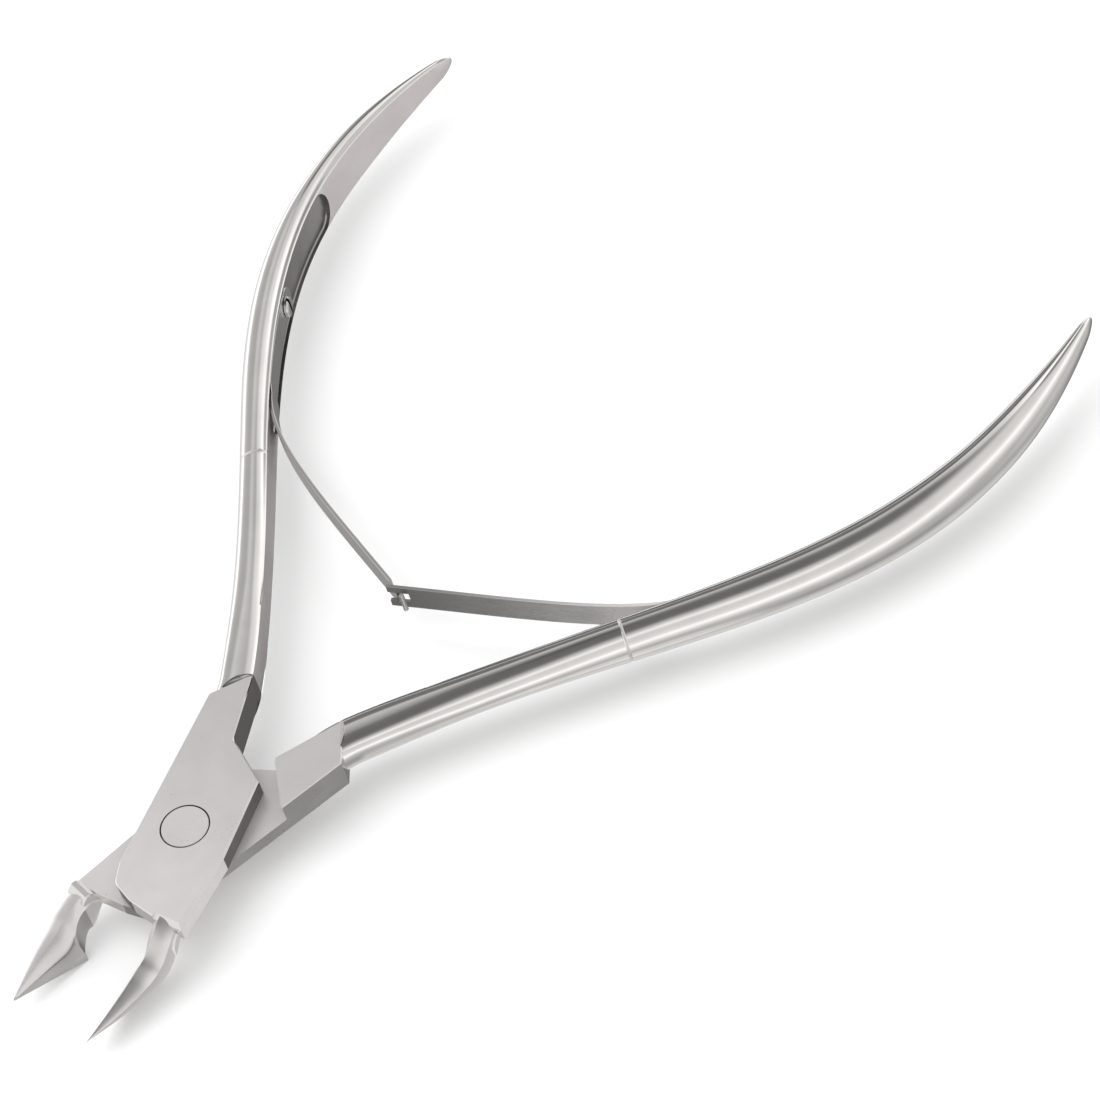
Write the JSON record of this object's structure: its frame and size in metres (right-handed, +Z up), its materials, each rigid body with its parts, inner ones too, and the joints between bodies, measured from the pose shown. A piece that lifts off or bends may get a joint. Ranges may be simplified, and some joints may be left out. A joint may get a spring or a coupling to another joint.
{
  "type": "spring-handled precision nipper",
  "caption": "Small steel nipper with bowed spring handles, a flush-riveted lap joint and short pointed cutting jaws.",
  "frame": {"origin": "on the pivot axis, at the flat underside of the lap joint", "axes": "+Y from the pivot towards the handles, +X towards the lower arm's handle, +Z up through the joint. At rest the handles are open."},
  "size_m": [0.0872, 0.1149, 0.008],
  "materials": {
    "polished_steel": "polished stainless steel, satin on the flat faces",
    "rivet_steel": "satin, ground flush with the joint",
    "spring_steel": "rolled spring strip, slightly darker",
    "screw_steel": "bright turned steel"
  },
  "bodies": {
    "lower_arm": {"lower_arm": "polished_steel", "pivot_rivet": "rivet_steel", "lower_spring_screw": "screw_steel"},
    "upper_arm": {"upper_arm": "polished_steel", "upper_spring_screw": "screw_steel"},
    "lower_leaf": {"lower_leaf_spring": "spring_steel"},
    "upper_leaf": {"upper_leaf_spring": "spring_steel"}
  },
  "joints": [
    {"name": "arm_pivot", "type": "hinge", "parent": "lower_arm", "child": "upper_arm", "pos_m": [0, 0, 0], "axis": [0, 0, -1], "range_deg": [0, 23.6], "stiffness_Nm_per_rad": 0.35},
    {"name": "lower_leaf_bend", "type": "hinge", "parent": "lower_arm", "child": "lower_leaf", "pos_m": [0.02411, 0.04304, 0.0017], "axis": [0, 0, 1], "range_deg": [0, 20.5], "deforming": ["lower_leaf_spring"]},
    {"name": "upper_leaf_bend", "type": "hinge", "parent": "upper_arm", "child": "upper_leaf", "pos_m": [-0.02411, 0.04304, 0.0017], "axis": [0, 0, -1], "range_deg": [0, 20.5], "deforming": ["upper_leaf_spring"]}
  ],
  "couplings": [
    {"joint": "lower_leaf_bend", "follows": "arm_pivot", "ratio": 0.8631},
    {"joint": "upper_leaf_bend", "follows": "arm_pivot", "ratio": 0.8631}
  ]
}
